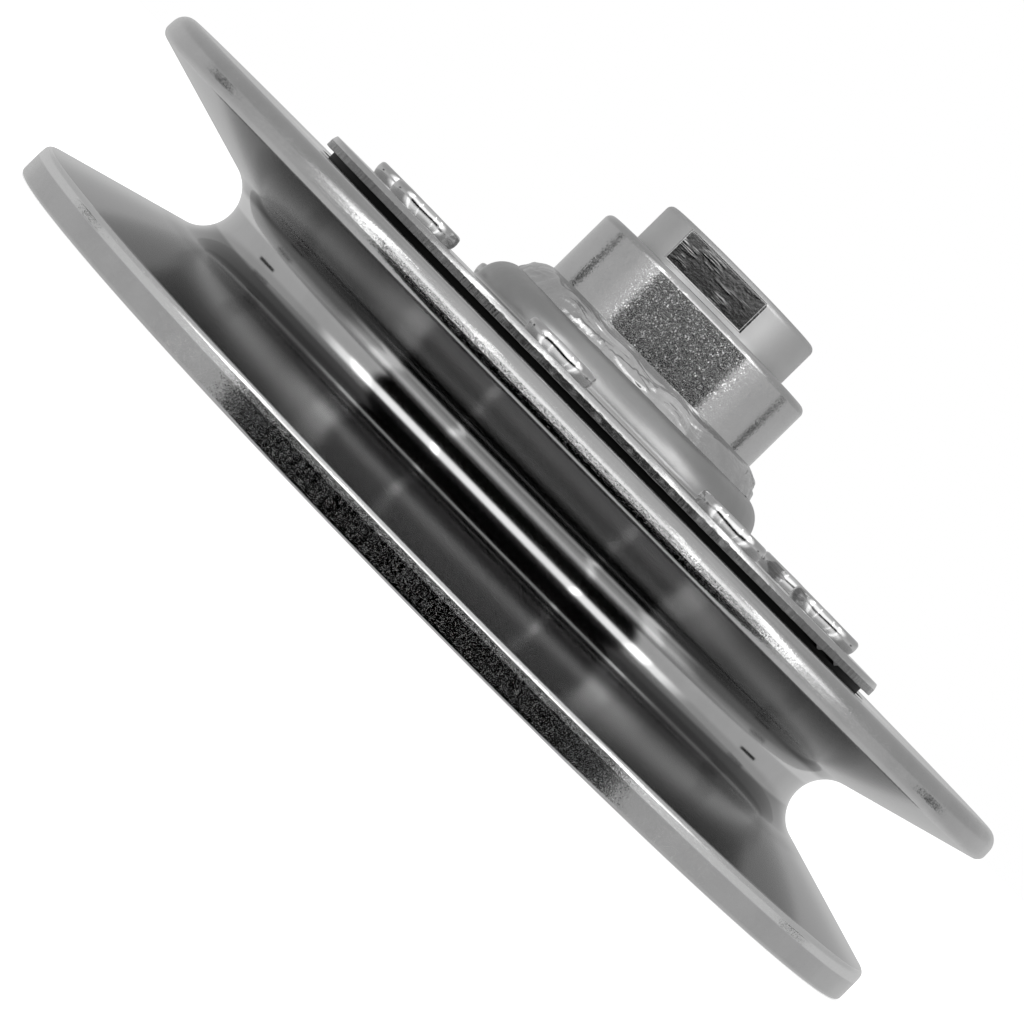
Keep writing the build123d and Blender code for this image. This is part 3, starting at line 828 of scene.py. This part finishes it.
@dataclass
class FlangePlate:
    """The drawn sheet with its dome, and the edge that the shears left."""

    radius: float = 54.9
    seat_z: float = 16.689
    top_z: float = 18.589
    thickness: float = 1.9
    dome_radius: float = 27.0
    dome_top_z: float = 24.089
    shoulder_fillet: float = 4.5
    foot_fillet: float = 0.9
    bore_radius: float = 19.9
    rollover_height: float = 0.84
    rollover_radius: float = 2.4
    rollover_start: float = math.radians(7)
    rollover_end: float = math.radians(28)
    rollover_rows: int = 6
    top_fillet: float = 0.1
    torn_lean: float = -0.02
    torn_gap: float = 0.04
    torn_margin: float = 0.06
    torn_reach: float = 0.3
    torn_rows: int = 6
    torn_depth: float = 0.1
    streak_rate: float = 60.0
    streak_climb: float = 0.3
    streak_seed: float = 3.0
    crumb_rate: float = 30.0
    crumb_climb: float = 1.2
    crumb_seed: float = 9.0
    crumb_share: float = 0.1
    under_reach: float = 0.05
    under_drop: float = 0.06
    under_seed: tuple[float, float] = (0.5, 20.0)
    burrs: tuple[float, float] = (math.radians(-27.6), math.radians(-21.3))
    burr_reach: float = 0.01
    burr_drop: float = 0.4
    edge_reach: tuple[float, float] = (-0.4, -0.25)
    border_rate: float = 90.0
    border_swing: float = 0.3
    border_lift: float = 0.15
    border_soft: tuple[float, float] = (0.04, -0.04)
    rim_reach: tuple[float, float] = (0.02, -0.06)
    rim_tone: float = 0.54
    flat_reach: tuple[float, float] = (0.6, 0.1)
    flat_tone: float = 0.62
    flat_roughness: float = 0.16
    teeth_depth: float = 0.16
    torn_shade_tone: float = 0.2
    torn_roughness: float = 0.14
    draw_inset: float = 0.6
    draw_radius: float = 30.5
    draw_soft: float = 0.3
    draw_pitch: float = 0.45
    draw_depth: float = 0.03
    steps: int = 1080

    def build(self) -> Piece:
        """Turns the sheet and tears its edge."""
        under_dome = self.dome_top_z - self.thickness
        inner = self.dome_radius - self.thickness
        outline = Outline()
        outline.corner(self.bore_radius, self.dome_top_z)
        outline.corner(self.bore_radius, under_dome)
        outline.corner(inner, under_dome, self.shoulder_fillet - self.thickness)
        outline.corner(inner, self.seat_z, self.foot_fillet + self.thickness)
        torn_top = self.top_z - self.rollover_height - self.torn_gap
        for row in range(self.torn_rows):
            share = row / (self.torn_rows - 1)
            outline.corner(
                self.radius - self.torn_lean * (1 - share),
                self.seat_z + (torn_top - self.seat_z) * share,
                0.0 if row else self.top_fillet,
            )
        start = self.rollover_start
        for row in range(self.rollover_rows + 1):
            turn = start + (self.rollover_end - start) * row / self.rollover_rows
            rise = self.rollover_radius * (math.sin(turn) - math.sin(start))
            outline.corner(
                self.radius - self.rollover_radius * (math.cos(start) - math.cos(turn)),
                self.top_z - self.rollover_height + rise,
                self.top_fillet if row == self.rollover_rows else 0.0,
            )
        outline.corner(self.dome_radius, self.top_z, self.foot_fillet)
        outline.corner(self.dome_radius, self.dome_top_z, self.shoulder_fillet)
        piece = turn_outline("domed_plate", outline.points(), self.steps)
        sculpt(piece, self.tear)
        return piece

    def tear(self, place: Vector) -> Vector:
        """Gives the movement of a point of the edge's torn band.

        Args:
            place: the point, in millimetres.

        Returns:
            The movement, in metres.
        """
        radius = math.hypot(place.x, place.y)
        torn_top = self.top_z - self.rollover_height + self.torn_margin
        if radius < self.radius - self.torn_reach or place.z > torn_top:
            return Vector()
        angle = math.atan2(place.y, place.x)
        along = angle * self.streak_rate
        streak = noise.noise(Vector((along, place.z * self.streak_climb, self.streak_seed)))
        crumb = noise.noise(Vector((angle * self.crumb_rate, place.z * self.crumb_climb, self.crumb_seed)))
        depth = self.torn_depth * ((1 - self.crumb_share) * streak + self.crumb_share * crumb)
        outward = Vector((place.x, place.y, 0)).normalized()
        drop = 0.0
        if place.z < self.seat_z + self.under_reach:
            drop = -self.under_drop * max(0.0, noise.noise(Vector((along, *self.under_seed))))
            for burr in self.burrs:
                drop -= self.burr_drop * math.exp(-(((angle - burr) / self.burr_reach) ** 2))
        return (outward * depth + Vector((0, 0, drop))) * MM

    def dress_edge(self, surface: Surface) -> None:
        """Darkens the torn band with painted shade and roughens it, and marks the draw lines at the dome's
        foot.

        Args:
            surface: the sheet's surface.
        """
        graph, radius, level = surface.graph, surface.radius, surface.level
        outer = surface.fade(radius, self.radius, self.edge_reach)
        along = graph.combine(graph.times(surface.angle, self.border_rate), 0.0, 0.0)
        ragged = graph.math("MULTIPLY_ADD", graph.noise(along, 1.0), self.border_swing, level)
        border = self.top_z - self.rollover_height + self.border_lift
        torn = graph.times(outer, surface.fade(ragged, border, self.border_soft))
        rim = graph.times(outer, surface.fade(level, self.top_z, self.rim_reach))
        flat = surface.fade(level, self.top_z, self.flat_reach)
        surface.paint(flat, self.flat_tone, self.flat_roughness)
        surface.paint(rim, self.rim_tone, self.flat_roughness)
        teeth = graph.noise(graph.scale(along, 2.0), 1.0)
        surface.lift(graph.times(teeth, torn), self.teeth_depth)
        # Painted shade: the torn band's tone is lowered to 0.2.
        surface.paint(torn, self.torn_shade_tone, self.torn_roughness)
        inner = self.dome_radius - self.draw_inset
        drawn = surface.between(radius, inner, self.draw_radius, self.draw_soft)
        surface.lift(graph.times(surface.lines(radius, self.draw_pitch), drawn), self.draw_depth)

    def dress(self, piece: Piece, finisher: Finisher) -> None:
        """Gives the sheet a satin plated finish, with painted shade on its torn edge."""
        piece.data.materials.append(finisher.metal(PLATED_SHEET, self.dress_edge))


@dataclass(frozen=True)
class Cloud:
    """Smooth noise on the bead: its rate round the ring, its climb up the section and its own place."""

    rate: float
    climb: float = 0.0
    warp: float = 0.0
    seed: tuple[float, float, float] = (0.0, 0.0, 0.0)

    def at(self, ring: Vector, share: float, warp: float = 0.0) -> float:
        """The noise, from -1 to 1, at a share of the section's height."""
        rise = Vector((0, 0, share * self.climb + warp * self.warp))
        return noise.noise(ring * self.rate + Vector(self.seed) + rise)


def hump(away: float, reach: float, power: int = 2) -> float:
    """Falls smoothly from 1 with the distance from a middle, steeper with a higher power."""
    return math.exp(-((away / reach) ** power))


@dataclass
class WeldBead:
    """The fillet weld between the dome and the housing, laid by hand in short ripples."""

    tube_radius: float = 19.85
    foot_z: float = 24.089
    width: float = 3.45
    height: float = 3.4
    bulge: float = 0.75
    sink: float = 0.1
    root_depth: float = 0.5
    seam_reach: float = 0.2
    rows: int = 40
    steps: int = 1104
    smooth_angle: float = 60.0
    mean_radius: float = 22.0
    fade_share: float = 0.9
    fade_start: float = 0.05
    ripple_pitch: float = 1.3
    ripple_depth: float = 0.012
    ripple_bow: float = 6.4
    ripple_middle: float = 0.45
    ripple_warp: float = 1.1
    warp: Cloud = Cloud(0.16, seed=(0, 0, 4))
    flow: Cloud = Cloud(0.1, 4.5, 2.2)
    fine: Cloud = Cloud(0.1, 15, 4, (7, 0, 0))
    lump: Cloud = Cloud(0.09, 1.2, seed=(5, 0, 0))
    crumb: Cloud = Cloud(1.3, 5)
    toe_edge: Cloud = Cloud(0.55, seed=(0, 9, 0))
    fold_depth: float = 0.25
    crease_depth: float = 0.07
    crease_width: float = 0.05
    side_crease: float = 0.22
    side_crease_width: float = 0.04
    side_crease_share: float = 0.6
    fine_depth: float = 0.055
    lump_depth: float = 0.26
    toe_depth: float = 0.25
    start_angle: float = math.radians(-121)
    start_reach: float = math.radians(11)
    start_depth: float = 0.5
    start_share: float = 0.08
    start_power: float = 1.5
    rag_angle: float = math.radians(-95.6)
    rag_reach: float = math.radians(22)
    rag_share: float = 0.24
    rag_climb: float = 0.14
    rag_wander: float = 0.04
    rag_width: float = 0.07
    rag_depth: float = 0.24
    rag_crumb: float = 0.26
    fleck_angle: float = math.radians(-82.7)
    fleck_reach: float = math.radians(7.8)
    fleck_share: float = 0.2
    fleck_height: float = 0.13
    fleck_slant: float = 0.9
    fleck_depth: float = 0.3
    flat_power: int = 6
    droop: float = 0.4
    spread: float = 0.85
    droop_reach: float = 0.9

    def build(self) -> Piece:
        """Turns the bead's section and sculpts its ripples."""
        outline = Outline()
        inside = self.tube_radius - self.root_depth
        lean = math.hypot(self.width, self.height)
        outline.corner(inside, self.foot_z - self.root_depth)
        for row in range(self.rows + 1):
            share = row / self.rows
            swell = math.sin(math.pi * share) * self.bulge
            outline.corner(
                self.tube_radius + self.width * (1 - share) + swell * self.height / lean,
                self.foot_z - self.sink + self.height * share + swell * self.width / lean,
            )
        outline.corner(inside, self.foot_z + self.height)
        piece = turn_outline("weld_run", outline.points(), self.steps, smooth_angle=self.smooth_angle)
        sculpt(piece, self.ripple)
        return piece

    def ripple(self, place: Vector) -> Vector:
        """Gives the movement of a point of the bead.

        Args:
            place: the point, in millimetres.

        Returns:
            The movement, in metres.
        """
        if math.hypot(place.x, place.y) < self.tube_radius - self.seam_reach:
            return Vector()
        angle = math.atan2(place.y, place.x)
        share = max(0.0, min(1.0, (place.z - self.foot_z) / self.height))
        outward = Vector((math.cos(angle), math.sin(angle), 0))
        ring = outward * self.mean_radius
        fade = math.sin(math.pi * min(1.0, max(0.0, share * self.fade_share + self.fade_start)))
        warp = self.warp.at(ring, share)
        flow = self.flow.at(ring, share, warp)
        bow = self.ripple_bow * (share - self.ripple_middle) ** 2
        arc = angle * self.mean_radius / self.ripple_pitch + bow + self.ripple_warp * warp
        crease = hump(flow, self.crease_width)
        crease += self.side_crease_share * hump(flow - self.side_crease, self.side_crease_width)
        depth = self.fold_depth * flow - self.crease_depth * crease
        depth += self.fine_depth * self.fine.at(ring, share, warp)
        depth += self.ripple_depth * (0.5 - abs(math.sin(math.pi * arc)))
        depth += self.lump_depth * self.lump.at(ring, share)
        depth *= fade
        toe = (1 - share) ** 3
        depth += self.toe_depth * toe * self.toe_edge.at(ring, share)
        depth += self.special_marks(angle, share, ring, depth)
        near = self.near(angle, self.rag_angle, self.droop_reach)
        normal = (outward * self.height + Vector((0, 0, self.width))).normalized()
        slump = outward * self.spread + Vector((0, 0, -self.droop))
        return (normal * depth + slump * toe * near) * MM

    def special_marks(self, angle: float, share: float, ring: Vector, depth: float) -> float:
        """Gives the height that the start, the ragged ridge and the flat fleck add.

        Args:
            angle: the place's angle.
            share: its share of the section's height.
            ring: the place on the bead's mean circle.
            depth: the height there without them.

        Returns:
            The added height, in millimetres.
        """
        start = self.near(angle, self.start_angle, self.start_reach)
        rise = math.sin(math.pi * min(1.0, share + self.start_share)) ** self.start_power
        along = (angle - self.rag_angle) / self.rag_reach
        crumb = self.crumb.at(ring, share)
        middle = self.rag_share + self.rag_climb * along + self.rag_wander * crumb
        rag = hump(along, 1.0, self.flat_power) * hump(share - middle, self.rag_width)
        added = self.start_depth * start * rise + rag * (self.rag_depth + self.rag_crumb * crumb)
        slant = self.fleck_slant * (share - self.fleck_share)
        beside = (angle - self.fleck_angle) / self.fleck_reach + slant
        above = (share - self.fleck_share) / self.fleck_height
        fleck = 1 / (1 + (beside**2 + above**2) ** self.flat_power)
        return added + fleck * (self.fleck_depth - depth - added)

    @staticmethod
    def near(angle: float, middle: float, reach: float) -> float:
        """Falls smoothly from 1 with the way round the axis from a middle."""
        return hump(abs((angle - middle + math.pi) % FULL_TURN - math.pi), reach)

    def dress(self, piece: Piece, finisher: Finisher) -> None:
        """Gives the bead its plated finish."""
        piece.data.materials.append(finisher.metal(PLATED_WELD))


@dataclass
class Rivets:
    """Eight rivets: flat round heads on the plate and closed heads under the web."""

    count: int = 8
    circle_radius: float = 43.5
    start_angle: float = math.radians(-92.8)
    head_radius: float = 6.1
    head_height: float = 2.25
    head_fillet: float = 0.65
    crown_share: float = 0.55
    crown_dip: float = 0.01
    crown_rise: float = 0.05
    belly_radius: float = 2.6
    belly_under: float = math.radians(26)
    belly_over: float = math.radians(18)
    belly_rows: int = 14
    own_turn: float = 2.1
    dent_rates: tuple[float, float, float] = (0.28, 0.28, 0.4)
    dent_depth: float = 0.12
    axis_gap: float = 0.02
    shank_radius: float = 3.2
    closed_radius: float = 4.8
    closed_height: float = 1.9
    closed_fillet: float = 0.7
    closed_seat_fillet: float = 0.15
    plate_top_z: float = 18.589
    web_under_z: float = 9.689
    over_gap: float = 0.03
    under_gap: float = 0.02
    arc_step: float = math.radians(12)
    steps: int = 72
    sectors: int = 4

    def build(self) -> Piece:
        """Turns one rivet, copies it round the circle and joins the copies."""
        top = self.plate_top_z + self.head_height
        foot = self.web_under_z - self.closed_height
        seat = self.plate_top_z + self.over_gap
        under = self.web_under_z - self.under_gap
        outline = Outline(arc_step=self.arc_step)
        outline.corner(self.axis_gap, foot)
        outline.corner(self.closed_radius, foot, self.closed_fillet)
        outline.corner(self.closed_radius, under, self.closed_seat_fillet)
        outline.corner(self.shank_radius, under)
        outline.corner(self.shank_radius, seat)
        belly = self.belly_radius
        foot_rise = belly * math.sin(self.belly_under)
        for row in range(self.belly_rows + 1):
            turn = (self.belly_over + self.belly_under) * row / self.belly_rows - self.belly_under
            outline.corner(
                self.head_radius - belly + belly * math.cos(turn),
                seat + foot_rise + belly * math.sin(turn),
            )
        rise = top - seat - foot_rise - belly * math.sin(self.belly_over)
        inset = belly * (1 - math.cos(self.belly_over)) + rise * math.tan(self.belly_over)
        outline.corner(self.head_radius - inset, top, self.head_fillet)
        outline.corner(self.head_radius * self.crown_share, top - self.crown_dip)
        outline.corner(self.axis_gap, top + self.crown_rise)
        first = turn_outline("rivet_set", outline.points(), self.steps, self.sectors)
        sculpt(first, self.dent)
        out = Matrix.Translation(Vector((self.circle_radius * MM, 0, 0)))
        turns = []
        for index in range(self.count):
            round_axis = Matrix.Rotation(self.start_angle + FULL_TURN * index / self.count, 4, "Z")
            turns.append(round_axis @ out @ Matrix.Rotation(index * self.own_turn, 4, "Z"))
        copy_round(first, turns)
        even_shading(first)
        return first

    def dent(self, place: Vector) -> Vector:
        """Gives the slight unevenness of a formed head, in metres, at a place in millimetres."""
        outward = Vector((place.x, place.y, 0)) / self.head_radius
        return outward * noise.noise(place * Vector(self.dent_rates)) * self.dent_depth * MM

    def dress(self, piece: Piece, finisher: Finisher) -> None:
        """Gives the rivets a glossy plated finish."""
        piece.data.materials.append(finisher.metal(PLATED_RIVETS))


@dataclass
class Hub:
    """The bearing housing and the spindle with its flatted head."""

    flat_offset: float = 12.5
    flat_band: float = 0.1
    flat_soft: float = 0.02
    flat_low_z: float = 39.369
    flat_high_z: float = 44.969
    level_soft: float = 0.03
    flat_half_width: float = 7.54
    flat_tone: float = 0.48
    flat_roughness: float = 0.09
    mark_rates: tuple[float, float] = (0.16, 4.2)
    mark_depth: float = 0.01
    worn_rates: tuple[float, float, float] = (0.22, 0.0, 0.5)
    worn_range: tuple[float, float] = (0.5, 0.66)
    worn_least: float = 0.08
    burr_width: float = 0.12
    burr_height: float = 0.05
    burr_highlight_tone: float = 0.8

    def dress_flats(self, surface: Surface) -> None:
        """Adds the mill's marks on the wrench flats, and the burr round them, lightened as a painted
        highlight.

        Args:
            surface: the spindle's surface.
        """
        graph = surface.graph
        x, y, z = graph.split(surface.position)
        offset, band = self.flat_offset, self.flat_band
        near = surface.between(graph.math("ABSOLUTE", y), offset - band, offset + band, self.flat_soft)
        level = surface.between(z, self.flat_low_z, self.flat_high_z, self.level_soft)
        mask = graph.times(near, level)
        along, up = self.mark_rates
        marks = graph.noise(graph.combine(graph.times(x, along), 0.0, graph.times(z, up)), 1.0)
        worn = graph.noise(graph.vector("MULTIPLY", surface.position, self.worn_rates).outputs[0], 1.0)
        marks = graph.times(marks, graph.ramp(worn, *self.worn_range, self.worn_least, 1.0))
        surface.lift(graph.times(marks, mask), self.mark_depth)
        middle = (self.flat_low_z + self.flat_high_z) / 2
        reach = (self.flat_high_z - self.flat_low_z) / 2
        aside = graph.math("SUBTRACT", graph.math("ABSOLUTE", x), self.flat_half_width)
        above = graph.math("ABSOLUTE", graph.math("SUBTRACT", z, middle))
        inside = graph.math("MAXIMUM", aside, graph.math("SUBTRACT", above, reach))
        away = graph.math("ABSOLUTE", graph.math("ADD", inside, self.burr_width))
        burr = graph.times(graph.ramp(away, self.burr_width, 0.0), near)
        surface.lift(burr, self.burr_height)
        surface.paint(mask, self.flat_tone, self.flat_roughness)
        # Painted highlight: the burr line round each flat is lightened to a tone of 0.8; the burr's small
        # ridge is real geometry.
        surface.paint(burr, self.burr_highlight_tone)

    def dress(self, finisher: Finisher) -> None:
        """Gives the housing a blasted plated finish and the spindle a smooth one."""
        dress_nodes(finisher.metal(PLATED_HOUSING), "bearing_housing")
        dress_nodes(finisher.metal(PLATED_SPINDLE, self.dress_flats), "spindle")


@dataclass
class Bearings:
    """The two ball bearings, their spacers and their retaining rings."""

    balls: int = 8
    places: tuple[str, str] = ("lower", "upper")

    def dress(self, finisher: Finisher) -> None:
        """Gives every inner piece its own material.

        Args:
            finisher: makes the materials.
        """
        ground = finisher.metal(BEARING_STEEL)
        spacer = finisher.metal(SPACER_STEEL)
        spring = finisher.metal(SPRING_STEEL)
        cage = finisher.plastic(CAGE_POLYAMIDE)
        seal = finisher.plastic(SEAL_RUBBER)
        dress_nodes(spacer, "inner_spacer", "outer_spacer")
        dress_nodes(spring, "spindle_retaining_ring", "housing_retaining_ring")
        for place in self.places:
            dress_nodes(ground, f"{place}_bearing_outer_ring", f"{place}_bearing_inner_ring")
            dress_nodes(ground, *[f"{place}_bearing_ball_{n + 1}" for n in range(self.balls)])
            dress_nodes(cage, f"{place}_bearing_cage")
            dress_nodes(seal, f"{place}_bearing_lower_seal", f"{place}_bearing_upper_seal")


@dataclass
class Viewpoint:
    """The photograph's camera, found from the pulley's own edges."""

    target_right: float = 0.784
    target_z: float = -1.273
    distance: float = 764.3
    azimuth: float = math.radians(10.4)
    pitch: float = math.radians(1.7205)
    roll: float = math.radians(45.5)
    focal_px: float = 5361.0
    clip_start: float = 0.01
    clip_end: float = 50.0

    def build(self) -> None:
        """Adds the camera and makes it the scene's."""
        right = Vector((math.cos(self.azimuth), math.sin(self.azimuth), 0))
        toward = Vector((math.sin(self.azimuth), -math.cos(self.azimuth), 0))
        back = toward * math.cos(self.pitch) + Vector((0, 0, math.sin(self.pitch)))
        up = back.cross(right)
        target = (right * self.target_right + Vector((0, 0, self.target_z))) * MM
        camera_right = right * math.cos(self.roll) + up * math.sin(self.roll)
        camera_up = up * math.cos(self.roll) - right * math.sin(self.roll)
        data = bpy.data.cameras.new("photo_camera")
        data.sensor_width = SENSOR_WIDTH_MM
        data.lens = self.focal_px * SENSOR_WIDTH_MM / PHOTO_WIDTH_PX
        data.clip_start = self.clip_start
        data.clip_end = self.clip_end
        camera = bpy.data.objects.new("photo_camera", data)
        bpy.context.scene.collection.objects.link(camera)
        axes = Matrix((camera_right, camera_up, back)).transposed().to_4x4()
        camera.matrix_world = Matrix.Translation(target + back * self.distance * MM) @ axes
        bpy.context.scene.camera = camera


@dataclass(frozen=True)
class Screen:
    """A sheet of light or dark cloth round the object, by direction, in degrees.

    The azimuth is 0 towards the camera and grows to its right.
    """

    azimuth: float
    half_width: float
    low: float
    high: float
    level: float
    soft: float = 1.5
    soft_low: float = 1.5

    def mask(self, graph: Graph, azimuth: Socket, lift: Socket) -> Socket:
        """The part of the sky that it covers.

        Args:
            graph: the screens' graph.
            azimuth: the direction's azimuth.
            lift: its elevation.

        Returns:
            The mask's socket.
        """
        away = graph.math("ABSOLUTE", graph.math("SUBTRACT", azimuth, self.azimuth))
        wide = graph.ramp(away, self.half_width + self.soft, self.half_width - self.soft)
        above = graph.ramp(lift, self.low - self.soft_low, self.low + self.soft_low)
        under = graph.ramp(lift, self.high + self.soft, self.high - self.soft)
        return graph.times(wide, graph.times(above, under))


@dataclass
class Studio:
    """A pale floor, soft lights, and the white and dark screens that the metal mirrors."""

    floor_z: float = -16.62
    floor_radius: float = 2.2
    floor_sides: int = 96
    floor_colour: float = 0.82
    floor_roughness: float = 0.9
    floor_gloss: float = 0.1
    floor_glow: float = 0.55
    dome_radius: float = 0.6
    dome_segments: int = 64
    front_azimuth: float = math.radians(10.4)
    room_level: float = 0.75
    side_level: float = 0.64
    rear_level: float = 0.6
    front_level: float = 1.7
    front_high_level: float = 0.78
    side_high_level: float = 0.5
    zenith_level: float = 0.72
    below_level: float = 0.75
    front_sides: tuple[float, float] = (78.0, 62.0)
    rear_sides: tuple[float, float] = (112.0, 150.0)
    above_lifts: tuple[float, float] = (4.0, 11.0)
    high_lifts: tuple[float, float] = (18.0, 36.0)
    zenith_lifts: tuple[float, float] = (50.0, 75.0)
    below_lifts: tuple[float, float] = (-8.0, -30.0)
    screens: tuple[Screen, ...] = (
        Screen(azimuth=-0.5, half_width=50.5, low=-58, high=7.2, level=0.0, soft=2.0, soft_low=13.0),
        Screen(azimuth=-55.7, half_width=4.2, low=6.5, high=42, level=3.0, soft=1.5, soft_low=2.0),
        Screen(azimuth=54.3, half_width=4.2, low=6.5, high=42, level=3.0, soft=1.5, soft_low=2.0),
        Screen(azimuth=-25.2, half_width=1.3, low=8, high=42, level=3.6, soft=0.6),
        Screen(azimuth=28.6, half_width=1.3, low=8, high=42, level=3.6, soft=0.6),
        Screen(azimuth=-108, half_width=4.8, low=0.3, high=4.6, level=0.0, soft=0.6, soft_low=0.3),
        Screen(azimuth=108, half_width=4.8, low=0.3, high=4.6, level=0.0, soft=0.6, soft_low=0.3),
    )
    lamps: tuple[tuple[str, tuple[float, float, float], float, float], ...] = (
        ("soft_key", (-0.7, -0.9, 1.5), 1.4, 9.0),
        ("soft_fill", (1.1, -0.3, 1.2), 1.2, 4.0),
    )

    def build(self) -> None:
        """Builds the whole studio."""
        self.build_world()
        self.build_floor()
        self.build_dome()
        self.build_lights()

    def seen_directly(self, graph: Graph) -> Socket:
        """A mask of the rays that show the background: camera, glossy and transmission rays."""
        path = graph.node("ShaderNodeLightPath")
        seen = graph.math("MAXIMUM", path.outputs["Is Camera Ray"], path.outputs["Is Glossy Ray"])
        return graph.math("MAXIMUM", seen, path.outputs["Is Transmission Ray"])

    def build_world(self) -> None:
        """A white background, and an even soft light on the object."""
        world = bpy.data.worlds.new("studio_world")
        graph = open_nodes(world)
        bpy.context.scene.world = world
        strength = graph.mix(self.seen_directly(graph), self.room_level, 1.0)
        graph.wire(world.node_tree.nodes["Background"], Color=(1, 1, 1, 1), Strength=strength)

    def build_floor(self) -> None:
        """A pale floor that keeps the object's shadow and meets the white background."""
        deselect()
        bpy.ops.mesh.primitive_circle_add(
            vertices=self.floor_sides,
            radius=self.floor_radius,
            fill_type="NGON",
            location=(0, 0, self.floor_z * MM),
        )
        floor = bpy.context.object
        floor.name = "studio_floor"
        material = bpy.data.materials.new("floor_paper")
        graph = open_nodes(material)
        graph.wire(
            material.node_tree.nodes["Principled BSDF"],
            Base_Color=(self.floor_colour,) * 3 + (1,),
            Roughness=self.floor_roughness,
            Specular_IOR_Level=self.floor_gloss,
            Emission_Color=(1, 1, 1, 1),
            Emission_Strength=graph.times(self.seen_directly(graph), self.floor_glow),
        )
        floor.data.materials.append(material)
        floor.visible_glossy = False

    def build_dome(self) -> None:
        """The screens round the object, which only the metal mirrors: dark towards the camera."""
        deselect()
        bpy.ops.mesh.primitive_uv_sphere_add(
            segments=self.dome_segments, ring_count=self.dome_segments // 2, radius=self.dome_radius
        )
        dome = bpy.context.object
        dome.name = "studio_screens"
        bpy.ops.object.shade_smooth()
        material = bpy.data.materials.new("screen_cloth")
        graph = open_nodes(material)
        material.cycles.emission_sampling = "NONE"
        material.node_tree.nodes.clear()
        glow = graph.node("ShaderNodeEmission")
        graph.wire(glow, Strength=self.screen_level(graph))
        graph.wire(graph.node("ShaderNodeOutputMaterial"), Surface=glow.outputs[0])
        dome.data.materials.append(material)
        dome.visible_camera = False
        dome.visible_diffuse = False
        dome.visible_transmission = False
        dome.visible_volume_scatter = False
        dome.visible_shadow = False

    def screen_level(self, graph: Graph) -> Socket:
        """The brightness of the screens by direction.

        Args:
            graph: the screens' graph.

        Returns:
            The level's socket.
        """
        place = graph.node("ShaderNodeTexCoord").outputs["Object"]
        turn = graph.node("ShaderNodeVectorRotate", place, rotation_type="Z_AXIS")
        graph.wire(turn, Angle=-self.front_azimuth)
        right, away, up = graph.split(graph.vector("NORMALIZE", turn.outputs[0]).outputs[0])
        azimuth = graph.math("DEGREES", graph.math("ARCTAN2", right, graph.times(away, -1.0)))
        lift = graph.math("DEGREES", graph.math("ARCSINE", up))
        side = graph.math("ABSOLUTE", azimuth)
        level = graph.mix(graph.ramp(side, *self.rear_sides), self.side_level, self.rear_level)
        high = graph.ramp(lift, *self.high_lifts)
        front = graph.mix(high, self.front_level, self.front_high_level)
        above = graph.mix(graph.ramp(side, *self.front_sides), self.side_high_level, front)
        level = graph.mix(graph.ramp(lift, *self.above_lifts), level, above)
        level = graph.mix(graph.ramp(lift, *self.zenith_lifts), level, self.zenith_level)
        level = graph.mix(graph.ramp(lift, *self.below_lifts), level, self.below_level)
        for screen in self.screens:
            level = graph.mix(screen.mask(graph, azimuth, lift), level, screen.level)
        return level

    def build_lights(self) -> None:
        """Two large soft lamps for the floor and the matt surfaces."""
        for name, place, size, watts in self.lamps:
            data = bpy.data.lights.new(name, "AREA")
            data.shape = "DISK"
            data.size = size
            data.energy = watts
            lamp = bpy.data.objects.new(name, data)
            bpy.context.scene.collection.objects.link(lamp)
            lamp.location = place
            lamp.rotation_euler = (-Vector(place)).to_track_quat("-Z", "Y").to_euler()
            lamp.visible_glossy = False
            lamp.visible_camera = False


def main() -> None:
    """Builds the studio and every sub-assembly, in order."""
    logging.basicConfig(level=logging.INFO, format="%(name)s %(relativeCreated)d ms %(message)s")
    bpy.context.scene.view_settings.view_transform = "Standard"
    Viewpoint().build()
    Studio().build()
    finisher = Finisher(SharedEffects())
    for maker, slot, node in (
        (Sheave(), "plated_sheave", "sheave"),
        (FlangePlate(), "plated_sheet", "flange_plate"),
        (WeldBead(), "plated_weld", "weld_bead"),
        (Rivets(), "plated_rivets", "plate_rivets"),
    ):
        piece = maker.build()
        maker.dress(piece, finisher)
        hand_over(piece, "wheel", slot, node)
    Hub().dress(finisher)
    Bearings().dress(finisher)


if __name__ == "__main__":
    main()
